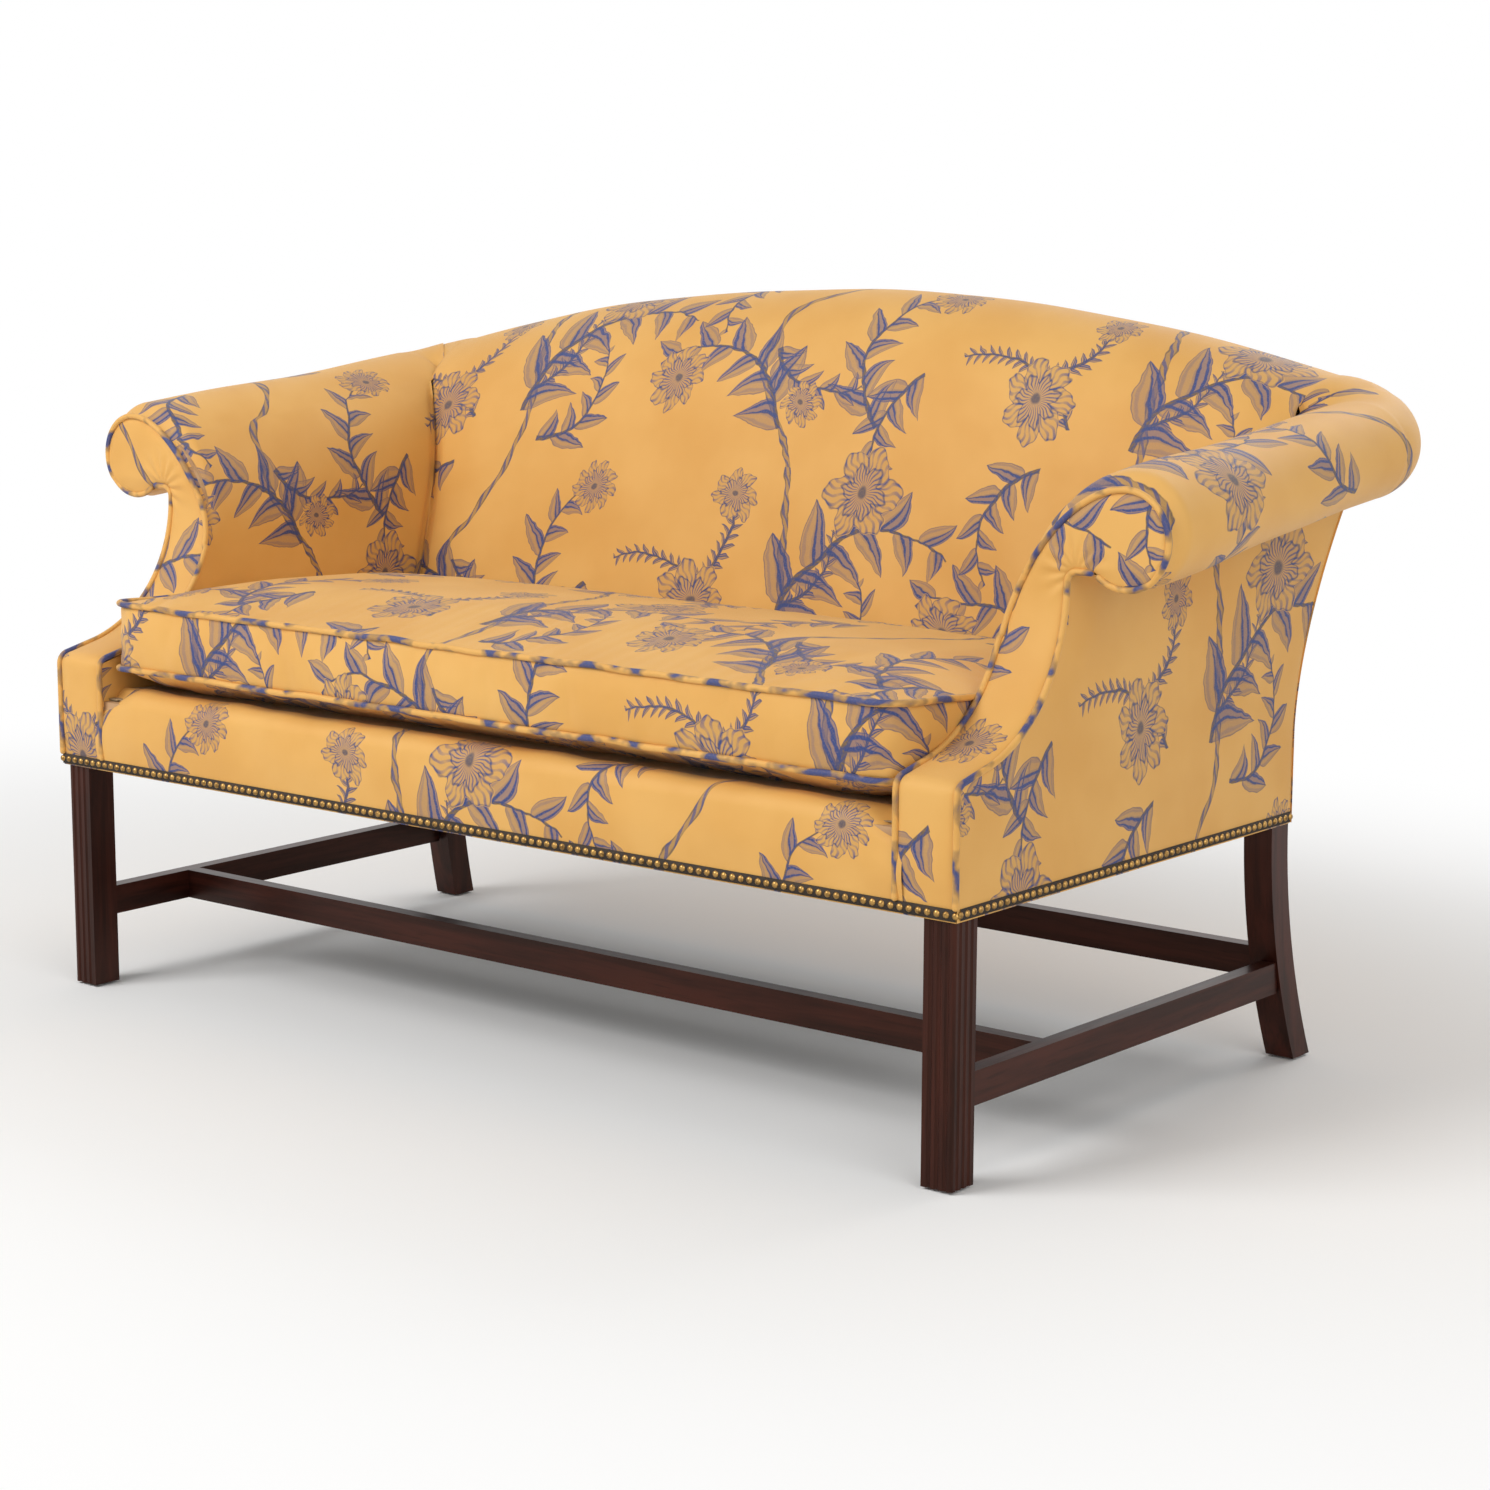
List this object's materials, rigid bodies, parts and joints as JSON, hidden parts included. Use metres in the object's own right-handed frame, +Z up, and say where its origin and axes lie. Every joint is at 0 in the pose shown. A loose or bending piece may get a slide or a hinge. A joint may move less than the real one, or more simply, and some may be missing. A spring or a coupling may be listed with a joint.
{
  "type": "camelback sofa",
  "caption": "Small camelback sofa with rolled arms, fluted square legs with stretchers, nail trim and one loose bench cushion, in golden cotton with a blue leafy print",
  "frame": {"origin": "on the floor, at the middle of the outer box of the sofa", "axes": "+X to the right seen from the front, +Y to the back, +Z up"},
  "size_m": [1.682, 0.873, 0.9075],
  "materials": {
    "polished_wood": "polished dark red-brown",
    "glide": "moulded",
    "frame_wood": "sawn and unfinished",
    "screw_steel": "zinc plated",
    "webbing": "woven jute",
    "hessian": "open plain weave",
    "filling": "wadding",
    "deck_cloth": "plain cotton",
    "print_cloth": "glazed cotton with a leafy print",
    "nail_brass": "antique brass",
    "dust_cloth": "black cambric",
    "zip_tape": "woven tape",
    "zip_metal": "satin"
  },
  "bodies": {
    "root": {"front_leg_right": "polished_wood", "front_leg_left": "polished_wood", "rear_leg_right": "polished_wood", "rear_leg_left": "polished_wood", "side_stretcher_right": "polished_wood", "side_stretcher_left": "polished_wood", "middle_stretcher": "polished_wood", "rear_stretcher": "polished_wood", "leg_glides": "glide", "front_rail": "frame_wood", "rear_rail": "frame_wood", "side_rail_right": "frame_wood", "side_rail_left": "frame_wood", "seat_spreader": "frame_wood", "corner_blocks": "frame_wood", "arm_stump_right": "frame_wood", "arm_stump_left": "frame_wood", "arm_board_right": "frame_wood", "arm_board_left": "frame_wood", "arm_lower_rail_right": "frame_wood", "arm_lower_rail_left": "frame_wood", "crest_rail": "frame_wood", "back_lower_rail": "frame_wood", "back_uprights": "frame_wood", "corner_screws": "screw_steel", "seat_webbing_long": "webbing", "seat_webbing_cross": "webbing", "seat_hessian": "hessian", "deck_pad": "filling", "deck_cover": "deck_cloth", "arm_facing_right": "print_cloth", "arm_facing_left": "print_cloth", "arm_pad_right": "print_cloth", "arm_pad_left": "print_cloth", "roll_corner_right": "print_cloth", "roll_corner_left": "print_cloth", "back_pad": "print_cloth", "front_border": "print_cloth", "outside_arm_right": "print_cloth", "outside_arm_left": "print_cloth", "outside_back": "print_cloth", "nail_band_front": "nail_brass", "nail_band_right": "nail_brass", "nail_band_left": "nail_brass", "dust_cloth": "dust_cloth"},
    "seat_cushion": {"cushion_core": "filling", "cushion_top": "print_cloth", "cushion_side": "print_cloth", "cushion_bottom": "print_cloth", "cushion_zip": "zip_tape"},
    "zip_slider_body": {"zip_slider": "zip_metal"}
  },
  "joints": [
    {"name": "seat_cushion_lift", "type": "slide", "parent": "root", "child": "seat_cushion", "axis": [0, 0, 1], "range_m": [0, 0.25]},
    {"name": "zip_slide", "type": "slide", "parent": "seat_cushion", "child": "zip_slider_body", "axis": [1, 0, 0], "range_m": [0, 0.94]}
  ]
}
